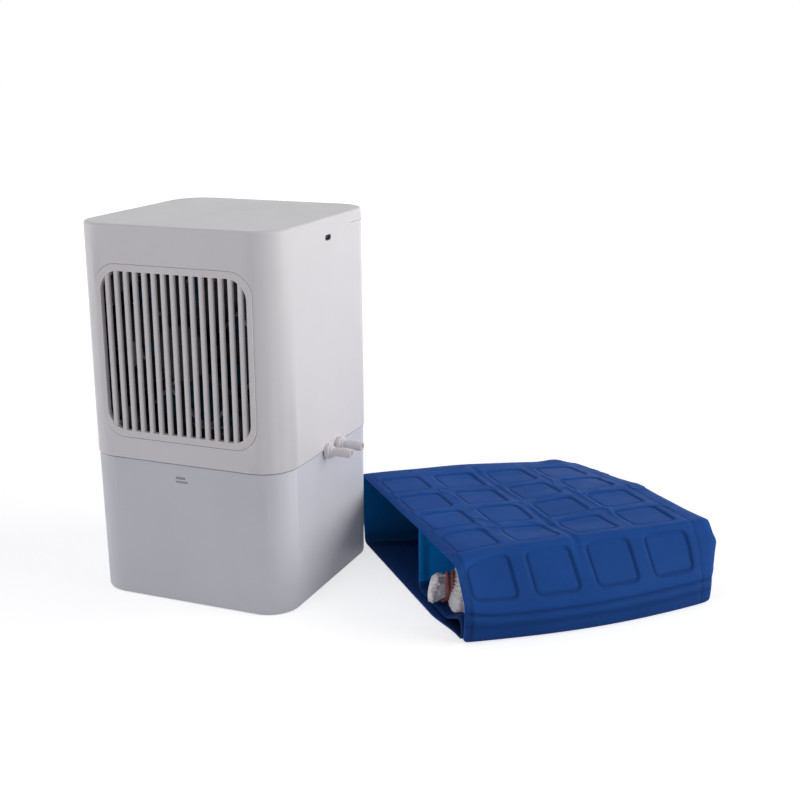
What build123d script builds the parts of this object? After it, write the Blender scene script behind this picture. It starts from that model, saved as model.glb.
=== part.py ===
from build123d import *
import os
from math import atan2, cos, degrees, pi, radians, sin

os.makedirs("parts", exist_ok=True)

# A small water chiller for a pet mat, with its empty mat folded up beside it.
# Millimetres, +Z up. The origin is the centre of the chiller's underside, the
# front grille faces -Y and the two hose spouts point along +X.

# Chiller outside
unit_width = 152.0
unit_depth = 150.0
unit_height = 260.0
corner_radius = 23.7
top_edge_radius = 2.0
shell_wall = 2.5
tank_top = 100.2
seam_height = 0.8

# Tank
tank_set_back = 0.6
tank_taper = 0.9
tank_wall = 2.5
tank_floor = 3.5
tank_edge_radius = 2.0
foot_radius = 6.0
foot_height = 1.6
foot_inset = 30.0
base_rim = 9.0
base_recess = 0.8

# Seal and deck between tank and housing
seal_inset = 1.0
seal_width = 1.9
deck_thickness = 3.6
deck_clearance = 0.3
skirt_depth = 6.0
skirt_wall = 2.0
skirt_clearance = 0.6
screw_radius = 1.5
screw_head_radius = 2.8
screw_head_height = 2.0
screw_length = 7.5
screw_clearance = 0.1
post_radius = 4.2
post_height = 8.5
post_reach = 15.5

# Grilles, one in front and the same moulding at the back
grille_side_margin = 1.2
grille_end_margin = 0.65
grille_radius = 16.5
grille_flange = 1.2
grille_gap = 0.4
grille_side_border = 4.0
grille_end_border = 5.0
slot_pitch = 7.1
slot_width = 3.65
outer_slot_cut = 0.65
opening_radius = 14.0
seat_relief = 2.0
bar_depth = 3.4
bar_edge_radius = 1.2
bar_set_back = 0.4

# Small features of the housing
usb_width = 8.9
usb_height = 3.9
usb_y = 1.8
usb_below_top = 13.4
groove_below_top = 7.7
groove_size = 1.2
groove_start = 36.0

# Hose spouts
spout_pitch = 18.0
spout_middle_y = 1.8
spout_below_seam = 0.7
spout_radius = 3.1
spout_bore = 2.0
spout_length = 14.0
spout_shank_radius = 4.0
spout_flange_radius = 6.1
spout_flange = 2.0
spout_clearance = 0.1
notch_clearance = 0.4
nut_radius = 5.4
nut_length = 3.6
nut_face = 5.0
barb_radius = 3.5
barb_length = 2.6
barb_land = 0.6
barb_count = 2
barb_pitch = 3.6
inner_spigot_radius = 2.95
inner_spigot_length = 8.0
spout_block_depth = 10.8
spout_block_below = 7.5

# Inner hoses
hose_inner_radius = 3.0
hose_wall = 1.5
hose_end_gap = 1.0
hose_clearance = 2.0
supply_bend = 22.0
return_bend = 12.0
riser_beside_board = 4.0

# Fan, as large as the room over the deck allows
fan_side_room = 13.5
fan_above_deck = 10.3
fan_below_top = 22.6
fan_depth = 25.0
fan_front_gap = 4.5
fan_plate = 4.0
fan_corner_radius = 6.0
fan_duct_wall = 2.0
fan_screw_inset = 7.5
fan_screw_hole = 2.2
fan_boss_radius = 3.7
hub_radius = 20.0
hub_depth = 18.0
hub_wall = 2.0
rotor_gap = 1.0
fan_shaft_radius = 2.0
running_clearance = 0.05
bearing_radius = 5.0
bearing_length = 12.0
motor_plate_radius = 19.0
strut_depth = 3.0
strut_width = 5.0
strut_count = 4
blade_count = 7
blade_tip_gap = 1.2
blade_front_gap = 1.5
blade_step_count = 3
blade_root_chord = 18.6
blade_tip_chord = 30.0
blade_thickness = 1.6
blade_root_pitch = 52.0
blade_tip_pitch = 28.0
blade_sweep = 9.0

# Cooling pad, its cartridge and the water tray over it
pad_gap = 3.0
cartridge_inset = 4.0
cartridge_depth = 28.0
cartridge_wall = 2.5
cartridge_border = 6.0
rib_width = 2.4
rib_end_inset = 1.0
pad_clearance = 0.4
pad_foot = 8.0
tooth_count = 17
tooth_depth = 2.6
tray_height = 11.5
tray_below_top = 15.5
tray_wall = 2.0
drip_radius = 1.1
drip_count = 9
drain_count = 6
drain_width = 4.0
drain_length = 14.0
rail_height = 3.0
rail_width = 2.0
rail_clearance = 0.3

# Pump
pump_width = 44.0
pump_length = 34.0
pump_height = 34.0
pump_bottom = 12.0
pump_corner_radius = 4.0
pump_cover_thickness = 3.0
chamber_radius = 13.5
chamber_depth = 8.0
well_radius = 5.6
well_depth = 17.0
outlet_x = 11.2
outlet_length = 12.0
impeller_radius = 12.4
vane_count = 6
vane_thickness = 1.2
vane_tip_gap = 0.3
impeller_hub_radius = 3.2
impeller_end_gap = 0.6
magnet_radius = 5.0
magnet_length = 15.0
joint_overlap = 1.0
pump_shaft_radius = 1.0
inlet_count = 5
inlet_pitch = 3.84
inlet_width = 1.6
inlet_length = 12.0
cradle_wall = 2.0
cradle_width = 16.0
cradle_gap = 0.3
cradle_from_end = 2.0

# Control board, power inlet and power button
board_thickness = 1.6
board_length = 30.5
board_width = 40.0
board_gap = 1.0
board_hole_inset = 6.0
board_post_radius = 3.0
chip_length = 8.0
chip_width = 6.0
chip_height = 1.6
coil_radius = 3.5
coil_height = 5.0
socket_depth = 7.4
socket_height = 3.2
socket_wall = 0.3
socket_width = 8.4
socket_set_back = 0.5
tongue_width = 5.5
tongue_thickness = 0.7
button_radius = 5.0
button_below_top = 17.0
button_gap = 0.2
button_proud = 1.4
button_flange_radius = 6.5
button_flange = 1.2
button_travel = 1.2
button_edge_radius = 0.8
button_cup_radius = 8.5
button_cup_wall = 1.5
button_cup_depth = 10.5
switch_size = 6.0
switch_height = 4.0
plunger_radius = 1.6

# Folded mat, in its own frame: u along its front edge, v away from the front
mat_corner = (196.2, -60.9)
mat_angle = 42.4
mat_width = 188.0
film = 1.1
film_gap = 0.2
fold_height = 52.5
fold_depth = 207.0
back_height = 50.0
back_sag = 16.5
front_bow = 9.0
sag_start_power = 2.2
front_lean = 17.0
front_knee = 25.0
knee_bow_share = 0.8
middle_drop = 0.3
middle_sag_share = 0.2
back_sag_share = 0.35
back_foot_inset = 3.0
hem_lift_share = 0.2
end_fold_v = 6.0
end_fold_height = 12.0
end_fold_foot_v = 30.0
layer_gap = 1.0
knee_bend = 18.0
crease_bend = 5.0
middle_bend = 40.0
back_bend = 6.0
end_fold_bend = 4.0
foot_bend = 12.0
partition_v = 80.0
partition_top = 46.0
station_count = 6
port_plate = 8.0
port_plate_height = 15.0
port_plate_thickness = 5.0
port_plate_radius = 2.0
port_heights = (14.0, 32.0)

# Tied pouch in the fold, its axis along the mat's front
pouch_v = 50.0
pouch_z = 19.2
pouch_radius = 13.0
pouch_end_u = 62.0
pouch_end_radius = 9.0
belly_start_u = 23.0
belly_end_u = 50.0
neck_u = 10.0
neck_length = 5.2
neck_radius = 8.0
tail_u = -4.0
tail_rim = 5.0
tail_radius = 10.8
tail_end_radius = 8.5
pouch_bends = (6.0, 12.0, 9.0, 2.0, 2.0, 3.0, 2.0)
band_radius = 1.1
band_gap = 0.3

# Sizes and places that several pieces share
spout_z = tank_top - spout_below_seam
housing_low = tank_top + seam_height
deck_low = housing_low
deck_high = deck_low + deck_thickness
inner_x = unit_width / 2 - shell_wall
inner_y = unit_depth / 2 - shell_wall
inner_top = unit_height - shell_wall
usb_z = unit_height - usb_below_top
groove_z = unit_height - groove_below_top
button_z = unit_height - button_below_top
spout_ys = (spout_middle_y - spout_pitch / 2, spout_middle_y + spout_pitch / 2)
fan_size = min(2 * (inner_x - fan_side_room), inner_top - deck_high - fan_above_deck - fan_below_top)
fan_centre = deck_high + fan_above_deck + fan_size / 2
fan_duct_radius = fan_size / 2 - fan_duct_wall
blade_radius = fan_duct_radius - blade_tip_gap
grille_width = fan_size - 2 * grille_side_margin
grille_height = fan_size - 2 * grille_end_margin
outer_slots = slot_width - outer_slot_cut
slot_count = 1 + int((grille_width - 2 * grille_side_border - outer_slots) / slot_pitch)
slot_height = grille_height - 2 * grille_end_border
opening_width = (slot_count - 1) * slot_pitch + outer_slots
fan_front = -inner_y + fan_front_gap
fan_back = fan_front + fan_depth
pad_front = fan_back + pad_gap
pad_back = pad_front + cartridge_depth
cartridge_width = fan_size - 2 * cartridge_inset
cartridge_top = inner_top - tray_below_top - tray_height
socket_low = usb_z - socket_height / 2
board_x = (inner_x - board_gap - board_length, inner_x - board_gap)
board_y = (pad_back + board_gap, pad_back + board_gap + board_width)
riser_x = board_x[0] - riser_beside_board
spout_block_x = inner_x - shell_wall / 2 - spout_block_depth
pump_front = spout_ys[0] - chamber_depth / 2
pump_axis_z = pump_bottom + pump_height / 2


def block(x, y, z):
    """A box between the low and high values given for each axis."""
    size = [high - low for low, high in (x, y, z)]
    middle = [(high + low) / 2 for low, high in (x, y, z)]
    return Pos(*middle) * Box(*size)


def rod(radius, start, end):
    """A round bar from one point to another."""
    run = Vector(*end) - Vector(*start)
    return Solid.make_cylinder(radius, run.length, Plane(origin=start, z_dir=run))


def rounded_prism(inset, low, high):
    """The chiller's plan, moved in by an inset, between two heights."""
    plan = RectangleRounded(unit_width - 2 * inset, unit_depth - 2 * inset, corner_radius - inset)
    return extrude(Pos(0, 0, low) * plan, high - low)


def save(name, piece):
    """Write one piece under its own name."""
    export_step(piece, f"parts/{name}.step")


def corners(x, y):
    """The four places that mirror one place in both axes."""
    return [(sx * x, sy * y) for sx in (-1, 1) for sy in (-1, 1)]


screw_places = corners(unit_width / 2 - corner_radius + post_reach * cos(pi / 4),
                       unit_depth / 2 - corner_radius + post_reach * cos(pi / 4))
foot_places = corners(unit_width / 2 - foot_inset, unit_depth / 2 - foot_inset)
fan_screw_places = [(x, fan_centre + z)
                    for x, z in corners(fan_size / 2 - fan_screw_inset, fan_size / 2 - fan_screw_inset)]
board_hole_places = [(board_x[0] + board_hole_inset, y)
                     for y in (board_y[0] + board_hole_inset, board_y[1] - board_hole_inset)]


def spout_notches(radius):
    """Cutters round both spouts, through the wall on the right."""
    x = (inner_x - 3 * shell_wall, unit_width)
    return [rod(radius, (x[0], y, spout_z), (x[1], y, spout_z)) for y in spout_ys]


# Tank: an open tub that tapers towards its floor, notched for the spouts
def tank():
    def tub(inset_top, inset_bottom, z_low, z_high):
        faces = []
        for inset, z in ((inset_bottom, z_low), (inset_top, z_high)):
            plan = RectangleRounded(unit_width - 2 * inset, unit_depth - 2 * inset, corner_radius - inset)
            faces.append(Pos(0, 0, z) * plan)
        return loft(faces)

    outside = tub(tank_set_back, tank_set_back + tank_taper, 0, tank_top)
    outside = fillet(outside.edges().group_by(Axis.Z)[0], tank_edge_radius)
    wall_top = tank_set_back + tank_wall
    inside = tub(wall_top, wall_top + tank_taper, tank_floor, tank_top)
    body = outside - inside - rounded_prism(tank_set_back + tank_taper + base_rim, 0, base_recess)
    for x, y in foot_places:
        body -= rod(foot_radius + running_clearance, (x, y, 0), (x, y, foot_height))
    for cutter, y in zip(spout_notches(spout_shank_radius + notch_clearance), spout_ys):
        half = spout_shank_radius + notch_clearance
        body -= cutter
        body -= block((inner_x - 3 * shell_wall, unit_width), (y - half, y + half), (spout_z, unit_height))
    return body


def tank_feet():
    return Compound([rod(foot_radius, (x, y, 0), (x, y, foot_height)) for x, y in foot_places])


# Seal: a soft ring on the deck's underside, which shows as the dark line
def tank_seal():
    ring = rounded_prism(tank_set_back + seal_inset, tank_top, deck_low)
    ring -= rounded_prism(tank_set_back + seal_inset + seal_width, tank_top, deck_low)
    half = spout_shank_radius + notch_clearance
    return ring - block((0, unit_width), (spout_ys[0] - half, spout_ys[1] + half), (tank_top, deck_low))


# Deck: closes the housing below, drains the pad and carries spouts and pump
def deck():
    plate_inset = shell_wall + deck_clearance
    body = rounded_prism(plate_inset, deck_low, deck_high)
    skirt_inset = tank_set_back + tank_wall + skirt_clearance
    skirt = rounded_prism(skirt_inset, deck_low - skirt_depth, deck_low)
    skirt -= rounded_prism(skirt_inset + skirt_wall, deck_low - skirt_depth, deck_low)
    for x, y in screw_places:
        skirt -= block((x - corner_radius, x + corner_radius), (y - corner_radius, y + corner_radius),
                       (deck_low - skirt_depth, deck_low))
    body += skirt
    flange = spout_flange_radius + deck_clearance
    block_y = (spout_ys[0] - flange, spout_ys[1] + flange)
    body += block((spout_block_x, unit_width / 2 - skirt_inset), block_y,
                  (spout_z - spout_block_below, deck_low))
    hose_radius = hose_inner_radius + hose_wall
    for y, start in zip(spout_ys, (outlet_x + hose_radius, riser_x - hose_radius - hose_clearance)):
        body -= block((start, spout_block_x), (y - flange, y + flange), (deck_low - skirt_depth, deck_high))
        body -= rod(spout_shank_radius + spout_clearance, (spout_block_x, y, spout_z), (unit_width, y, spout_z))
    body += pump_cradle()
    for y in (pad_front - rail_clearance - rail_width, pad_back + rail_clearance):
        body += block((-cartridge_width / 2, cartridge_width / 2), (y, y + rail_width),
                      (deck_high, deck_high + rail_height))
    drain_pitch = cartridge_width / (drain_count + 0.5)
    for index in range(drain_count):
        x = (index - (drain_count - 1) / 2) * drain_pitch
        y = (pad_front + pad_back) / 2
        body -= block((x - drain_length / 2, x + drain_length / 2), (y - drain_width, y + drain_width),
                      (deck_low, deck_high))
    for x, y in screw_places:
        body -= rod(screw_radius + screw_clearance, (x, y, deck_low), (x, y, deck_high))
    return body


def pump_cradle():
    """A strap that hangs from the deck and goes under the pump."""
    half = pump_width / 2 + cradle_gap
    end = pump_front + pump_length - cradle_from_end
    y = (end - cradle_width, end)
    low = pump_bottom - cradle_gap - cradle_wall
    strap = block((-half - cradle_wall, half + cradle_wall), y, (low, deck_low))
    return strap - block((-half, half), y, (low + cradle_wall, deck_low))


def housing_screws():
    screws = []
    for x, y in screw_places:
        screw = rod(screw_radius, (x, y, deck_low), (x, y, deck_low + screw_length))
        screw += rod(screw_head_radius, (x, y, deck_low - screw_head_height), (x, y, deck_low))
        screws.append(screw)
    return Compound(screws)


# Housing: a moulded shell with a window and rebate front and back
def upper_housing():
    outside = rounded_prism(0, housing_low, unit_height)
    outside = fillet(outside.edges().group_by(Axis.Z)[-1], top_edge_radius)
    body = outside - rounded_prism(shell_wall, housing_low, inner_top)
    for x, z in fan_screw_places:
        body += rod(fan_boss_radius, (x, -inner_y, z), (x, fan_front, z))
        body -= rod(screw_radius, (x, -inner_y + seat_relief, z), (x, fan_front, z))
    for turn in (0, 180):
        body -= Rot(0, 0, turn) * grille_seat()
    for cutter in spout_notches(spout_shank_radius + notch_clearance):
        body -= cutter
    slot = SlotOverall(usb_width, usb_height)
    slot_plane = Plane(origin=(inner_x - shell_wall, usb_y, usb_z), x_dir=(0, 1, 0), z_dir=(1, 0, 0))
    body -= extrude(slot_plane * slot, 3 * shell_wall)
    groove = rounded_prism(-1, groove_z - groove_size / 2, groove_z + groove_size / 2)
    groove -= rounded_prism(groove_size, groove_z - groove_size, groove_z + groove_size)
    body -= groove & block((-unit_width, unit_width), (groove_start, unit_depth), (0, unit_height))
    body += screw_posts() & outside
    for x, y in board_hole_places:
        post = rod(board_post_radius, (x, y, socket_low), (x, y, inner_top))
        body += post - rod(screw_radius, (x, y, socket_low), (x, y, socket_low + screw_length))
    body += button_cup()
    body -= rod(button_radius + button_gap, (0, inner_y - button_flange, button_z), (0, unit_depth, button_z))
    return body


def grille_seat():
    """The rebate and the window that one grille sits in, in the front wall."""
    rebate = front_plate(grille_width, grille_height, grille_radius, -unit_depth, grille_flange)
    window = front_plate(opening_width + 2 * grille_flange + 2 * grille_gap,
                         slot_height + 2 * grille_flange + 2 * grille_gap,
                         opening_radius + grille_flange, -unit_depth, shell_wall + seat_relief)
    return rebate + window


def front_plate(width, height, radius, from_y, depth_in):
    """A rounded plate parallel to the front wall, ending a depth inside its face."""
    end = -unit_depth / 2 + depth_in
    plan = Plane(origin=(0, from_y, fan_centre), x_dir=(1, 0, 0), z_dir=(0, 1, 0))
    return extrude(plan * RectangleRounded(width, height, radius), end - from_y)


def screw_posts():
    """Four posts for the deck's screws, each on a web to its corner."""
    posts = []
    for x, y in screw_places:
        post = rod(post_radius, (x, y, deck_high), (x, y, deck_high + post_height))
        web = Box(corner_radius, rib_width, post_height)
        turn = degrees(atan2(y, x))
        web = Pos(x, y, deck_high + post_height / 2) * Rot(0, 0, 45 * (1 if x * y > 0 else -1)) * web
        outward = Vector(cos(radians(turn)), sin(radians(turn))) * corner_radius / 2
        web &= Pos(x + outward.X, y + outward.Y, 0) * Box(corner_radius, corner_radius, 2 * unit_height)
        post += web
        post -= rod(screw_radius, (x, y, deck_high), (x, y, deck_high + screw_length))
        posts.append(post)
    return Compound(posts)


def button_cup():
    """A cup inside the back wall that holds the button and its switch."""
    start = inner_y - button_cup_depth
    cup = rod(button_cup_radius, (0, start, button_z), (0, inner_y, button_z))
    cup -= rod(button_cup_radius - button_cup_wall, (0, start + button_cup_wall, button_z),
               (0, inner_y, button_z))
    return cup


# Grille: a flanged frame with upright round-edged bars
def grille():
    flange = front_plate(grille_width - 2 * grille_gap, grille_height - 2 * grille_gap,
                         grille_radius - grille_gap, -unit_depth / 2, grille_flange)
    spigot = front_plate(opening_width + 2 * grille_flange, slot_height + 2 * grille_flange,
                         opening_radius + grille_flange - grille_gap, -unit_depth / 2,
                         bar_set_back + bar_depth)
    opening = front_plate(opening_width, slot_height, opening_radius, -unit_depth, unit_depth)
    body = flange + spigot - opening
    middle = -unit_depth / 2 + bar_set_back + bar_depth / 2
    profile = RectangleRounded(slot_pitch - slot_width, bar_depth, bar_edge_radius)
    edge = front_plate(opening_width + grille_flange, slot_height + grille_flange,
                       opening_radius + grille_flange / 2, -unit_depth, unit_depth)
    bars = []
    for index in range(1, slot_count):
        x = (index - slot_count / 2) * slot_pitch
        bars.append(Pos(x, middle, fan_centre - grille_height / 2) * extrude(profile, grille_height))
    body += [bar & edge for bar in bars]
    return body


def rear_grille():
    return Rot(0, 0, 180) * grille()


# Spouts: turned tubes with an inner flange, held by a round nut outside
def spout(y):
    wall = unit_width / 2
    inner_end = spout_block_x - spout_flange - inner_spigot_length
    outer_end = wall + nut_face + spout_length
    body = rod(inner_spigot_radius, (inner_end, y, spout_z), (spout_block_x, y, spout_z))
    body += rod(spout_flange_radius, (spout_block_x - spout_flange, y, spout_z), (spout_block_x, y, spout_z))
    body += rod(spout_shank_radius, (spout_block_x, y, spout_z), (wall + nut_face, y, spout_z))
    body += rod(spout_radius, (wall, y, spout_z), (outer_end, y, spout_z))
    body += barbs(Plane(origin=(wall + nut_face, y, spout_z), z_dir=(1, 0, 0)), spout_length)
    return body - rod(spout_bore, (inner_end, y, spout_z), (outer_end, y, spout_z))


def barbs(start, length):
    """Cone rings near the tip of a hose tail that starts on a plane."""
    rings = []
    for index in range(barb_count):
        low = length - (index + 1) * barb_pitch
        ring = Solid.make_cone(barb_radius, spout_radius, barb_length, start.offset(low))
        rings += [ring, Solid.make_cylinder(barb_radius, barb_land, start.offset(low - barb_land))]
    return Compound(rings)


def spout_nut(y):
    wall = unit_width / 2
    end = wall + nut_length
    nut = rod(nut_radius, (wall, y, spout_z), (end, y, spout_z))
    return nut - rod(spout_shank_radius + running_clearance, (wall, y, spout_z), (end, y, spout_z))


# Hoses inside the chiller: one plane bend each, over plain spigots
def hose(points, bend):
    path = FilletPolyline(*points, radius=bend)
    start = Vector(*points[0])
    section = Plane(origin=start, z_dir=Vector(*points[1]) - start)
    ring = Circle(hose_inner_radius + hose_wall) - Circle(hose_inner_radius)
    return sweep(section * ring, path=path)


def supply_hose():
    y = spout_ys[0]
    return hose([(outlet_x, y, pump_bottom + pump_height + hose_end_gap), (outlet_x, y, spout_z),
                 (spout_block_x - spout_flange - hose_end_gap, y, spout_z)], supply_bend)


def return_hose():
    y = spout_ys[1]
    tray_z = cartridge_top + tray_height / 2
    return hose([(spout_block_x - spout_flange - hose_end_gap, y, spout_z), (riser_x, y, spout_z),
                 (riser_x, y, tray_z), (riser_x, pad_back + hose_clearance, tray_z)], return_bend)


# Fan frame: two square plates joined by the round duct, with a motor plate
def fan_frame():
    def across(y, width, radius, depth):
        plan = Plane(origin=(0, y, fan_centre), x_dir=(1, 0, 0), z_dir=(0, 1, 0))
        return extrude(plan * RectangleRounded(width, width, radius), depth)

    def disc(radius, low, high):
        return rod(radius, (0, low, fan_centre), (0, high, fan_centre))

    body = across(fan_front, fan_size, fan_corner_radius, fan_plate)
    body += across(fan_back - fan_plate, fan_size, fan_corner_radius, fan_plate)
    body += disc(fan_duct_radius + fan_duct_wall, fan_front, fan_back)
    for x, z in fan_screw_places:
        body += rod(fan_boss_radius, (x, fan_front, z), (x, fan_back, z))
    body -= disc(fan_duct_radius, fan_front, fan_back)
    for x, z in fan_screw_places:
        body -= rod(fan_screw_hole, (x, fan_front, z), (x, fan_back, z))
    strut_low = fan_back - strut_depth
    for index in range(strut_count):
        turn = 360 / strut_count * (index + 0.5)
        strut = block((0, fan_duct_radius + fan_duct_wall / 2), (strut_low, fan_back),
                      (-strut_width / 2, strut_width / 2))
        body += Pos(0, 0, fan_centre) * Rot(0, turn, 0) * strut
    body += disc(motor_plate_radius, strut_low, fan_back)
    body += disc(bearing_radius, strut_low - bearing_length, strut_low)
    return body - disc(fan_shaft_radius + running_clearance, fan_front, fan_back - hub_wall / 2)


def fan_rotor():
    front = fan_front + rotor_gap
    back = front + hub_depth

    def disc(radius, low, high):
        return rod(radius, (0, low, fan_centre), (0, high, fan_centre))

    body = disc(hub_radius, front, back)
    body = fillet(body.edges().group_by(Axis.Y)[0], hub_wall)
    body -= disc(hub_radius - hub_wall, front + hub_wall, back)
    body += disc(fan_shaft_radius, front + hub_wall, fan_back - hub_wall)
    blades = [fan_blade(360 / blade_count * index, (front + back) / 2) for index in range(blade_count)]
    rim = disc(blade_radius, fan_front, fan_back) - disc(hub_radius - hub_wall / 2, fan_front, fan_back)
    for blade in blades:
        body += blade & rim
    return body


def fan_blade(turn, middle):
    """One blade: flatter towards its tip and swept back along the rim."""
    sections = []
    for step in range(blade_step_count + 1):
        share = step / blade_step_count
        radius = hub_radius - hub_wall + share * (fan_duct_radius - hub_radius)
        pitch = blade_root_pitch + share * (blade_tip_pitch - blade_root_pitch)
        shift = blade_sweep * share ** 2
        plane = Plane(origin=(radius, middle, shift), x_dir=(0, 0, 1), z_dir=(1, 0, 0))
        chord = blade_root_chord + share * (blade_tip_chord - blade_root_chord)
        sections.append(plane * Rot(0, 0, pitch) * Rectangle(chord, blade_thickness))
    blade = loft(sections)
    limit = block((0, unit_width), (fan_front + blade_front_gap, fan_front + hub_depth),
                  (-unit_width, unit_width))
    return Pos(0, 0, fan_centre) * Rot(0, turn, 0) * (blade & limit)


def fan_screws():
    screws = []
    for x, z in fan_screw_places:
        screw = rod(screw_radius - screw_clearance, (x, -inner_y + seat_relief, z), (x, fan_back, z))
        screw += rod(screw_head_radius, (x, fan_back, z), (x, fan_back + screw_head_height, z))
        screws.append(screw)
    return Compound(screws)


# Cartridge: a white frame with slanted ribs round the cooling pad
def pad_cartridge():
    half = cartridge_width / 2
    low = deck_high
    y = (pad_front, pad_back)
    body = block((-half, half), y, (low, cartridge_top))
    body -= block((-half + cartridge_wall, half - cartridge_wall),
                  (y[0] + cartridge_wall, y[1] - cartridge_wall),
                  (low + pad_foot, cartridge_top))
    body -= block((-half + cartridge_border, half - cartridge_border), y,
                  (low + pad_foot + cartridge_border, cartridge_top - cartridge_border))
    body -= block((-half + cartridge_wall, half - cartridge_wall),
                  (y[0] + cartridge_wall, y[1] - cartridge_wall), (low, low + pad_foot - cartridge_wall))
    floor_y = (y[0] + 2 * cartridge_wall, y[1] - 2 * cartridge_wall)
    body -= block((-half + cartridge_border, half - cartridge_border), floor_y, (low, low + pad_foot))
    window = block((-half + rib_end_inset, half - rib_end_inset), y,
                   (low + pad_foot, cartridge_top - cartridge_wall))
    cartridge_height = cartridge_top - low
    middle_z = low + (pad_foot + cartridge_height) / 2
    ribs = []
    for face in (y[0] + cartridge_wall / 2, y[1] - cartridge_wall / 2):
        for tilt in (45, -45):
            for offset in (-1, 0, 1):
                rib = Box(2 * cartridge_height, cartridge_wall, rib_width)
                shift = offset * cartridge_width / 2
                ribs.append(Pos(shift, face, middle_z) * Rot(0, tilt, 0) * rib)
    for rib in ribs:
        body += rib & window
    return body


def cooling_pad():
    """Pleated wet medium: an upright zigzag on both faces."""
    half = cartridge_width / 2 - cartridge_wall - pad_clearance
    front = pad_front + cartridge_wall + pad_clearance
    back = pad_back - cartridge_wall - pad_clearance
    pitch = 2 * half / tooth_count
    front_edge = []
    back_edge = []
    for index in range(tooth_count + 1):
        x = -half + index * pitch
        inset = tooth_depth if index % 2 else 0
        front_edge.append((x, front + inset))
        back_edge.append((x, back - tooth_depth + inset))
    outline = Polyline(*front_edge, *reversed(back_edge), close=True)
    low = deck_high + pad_foot
    return extrude(Pos(0, 0, low) * make_face(outline), cartridge_top - low - cartridge_wall)


def water_tray():
    half = cartridge_width / 2
    y = (pad_front, pad_back)
    low = cartridge_top
    high = low + tray_height
    body = block((-half, half), y, (low, high))
    body -= block((-half + tray_wall, half - tray_wall), (y[0] + tray_wall, y[1] - tray_wall),
                  (low + tray_wall, high))
    pitch = (cartridge_width - 4 * cartridge_border) / (drip_count - 1)
    for index in range(drip_count):
        x = (index - (drip_count - 1) / 2) * pitch
        for row in (-1, 1):
            hole_y = (y[0] + y[1]) / 2 + row * cartridge_depth / 6
            body -= rod(drip_radius, (x, hole_y, low), (x, hole_y, low + tray_wall))
    spigot_z = low + tray_height / 2
    spigot_end = y[1] + inner_spigot_length
    body += rod(inner_spigot_radius, (riser_x, y[1] - tray_wall, spigot_z), (riser_x, spigot_end, spigot_z))
    return body - rod(spout_bore, (riser_x, y[1] - tray_wall, spigot_z), (riser_x, spigot_end, spigot_z))


# Pump: a wet motor block with its chamber in front, under a slotted cover
def pump_body():
    half = pump_width / 2
    y = (pump_front, pump_front + pump_length)
    top = pump_bottom + pump_height
    body = block((-half, half), y, (pump_bottom, top))
    body = fillet(body.edges().filter_by(Axis.Y), pump_corner_radius)
    body -= pump_rod(chamber_radius, 0, chamber_depth)
    body -= pump_rod(well_radius, chamber_depth, chamber_depth + well_depth)
    body -= pump_rod(pump_shaft_radius + running_clearance / 2, chamber_depth + well_depth,
                     chamber_depth + well_depth + cradle_wall)
    outlet_y = spout_ys[0]
    body += rod(inner_spigot_radius, (outlet_x, outlet_y, top - joint_overlap),
                (outlet_x, outlet_y, top + outlet_length))
    return body - rod(spout_bore, (outlet_x, outlet_y, pump_axis_z), (outlet_x, outlet_y, top + outlet_length))


def pump_rod(radius, low, high):
    """A round bar on the pump's axis, measured back from its front face."""
    return rod(radius, (0, pump_front + low, pump_axis_z), (0, pump_front + high, pump_axis_z))


def pump_cover():
    half = pump_width / 2
    cover = block((-half, half), (pump_front - pump_cover_thickness, pump_front),
                  (pump_bottom, pump_bottom + pump_height))
    cover = fillet(cover.edges().filter_by(Axis.Y), pump_corner_radius)
    for index in range(inlet_count):
        x = (index - (inlet_count - 1) / 2) * inlet_pitch
        if index != inlet_count // 2:
            cover -= block((x - inlet_width / 2, x + inlet_width / 2),
                           (pump_front - pump_cover_thickness, pump_front),
                           (pump_axis_z - inlet_length / 2, pump_axis_z + inlet_length / 2))
    return cover - pump_rod(pump_shaft_radius + running_clearance / 2, -pump_cover_thickness / 2, 0)


def pump_shaft():
    return pump_rod(pump_shaft_radius, -pump_cover_thickness / 2 + running_clearance,
                    chamber_depth + well_depth + cradle_wall - running_clearance)


def pump_impeller():
    """Vanes on a plate, with the magnet that the motor turns behind it."""
    start = impeller_end_gap
    end = chamber_depth - impeller_end_gap
    body = pump_rod(impeller_hub_radius, start, end)
    body += pump_rod(impeller_radius, end - vane_thickness, end)
    body += pump_rod(magnet_radius, end - vane_thickness, end + magnet_length)
    for index in range(vane_count):
        vane = block((impeller_hub_radius - joint_overlap, impeller_radius - vane_tip_gap),
                     (pump_front + start, pump_front + end), (-vane_thickness / 2, vane_thickness / 2))
        body += Pos(0, 0, pump_axis_z) * Rot(0, 360 / vane_count * index, 0) * vane
    return body - pump_rod(pump_shaft_radius + running_clearance, 0, end + 2 * magnet_length)


# Electrics: the board under its two posts, the inlet and the power switch
def control_board():
    board = block(board_x, board_y, (socket_low - board_thickness, socket_low))
    for x, y in board_hole_places:
        board -= rod(screw_radius, (x, y, socket_low - board_thickness), (x, y, socket_low))
    start = board_x[0] + board_hole_inset + screw_head_radius + board_gap
    chip_y = board_y[0] + board_hole_inset
    coil_x = start + coil_radius
    coil_y = board_y[1] - board_hole_inset
    chip = block((start, start + chip_length), (chip_y, chip_y + chip_width),
                 (socket_low, socket_low + chip_height))
    coil = rod(coil_radius, (coil_x, coil_y, socket_low), (coil_x, coil_y, socket_low + coil_height))
    return board + chip + coil


def board_screws():
    screws = []
    low = socket_low - board_thickness
    for x, y in board_hole_places:
        screw = rod(screw_radius - screw_clearance, (x, y, low), (x, y, low + screw_length))
        screw += rod(screw_head_radius, (x, y, low - screw_head_height), (x, y, low))
        screws.append(screw)
    return Compound(screws)


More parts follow.
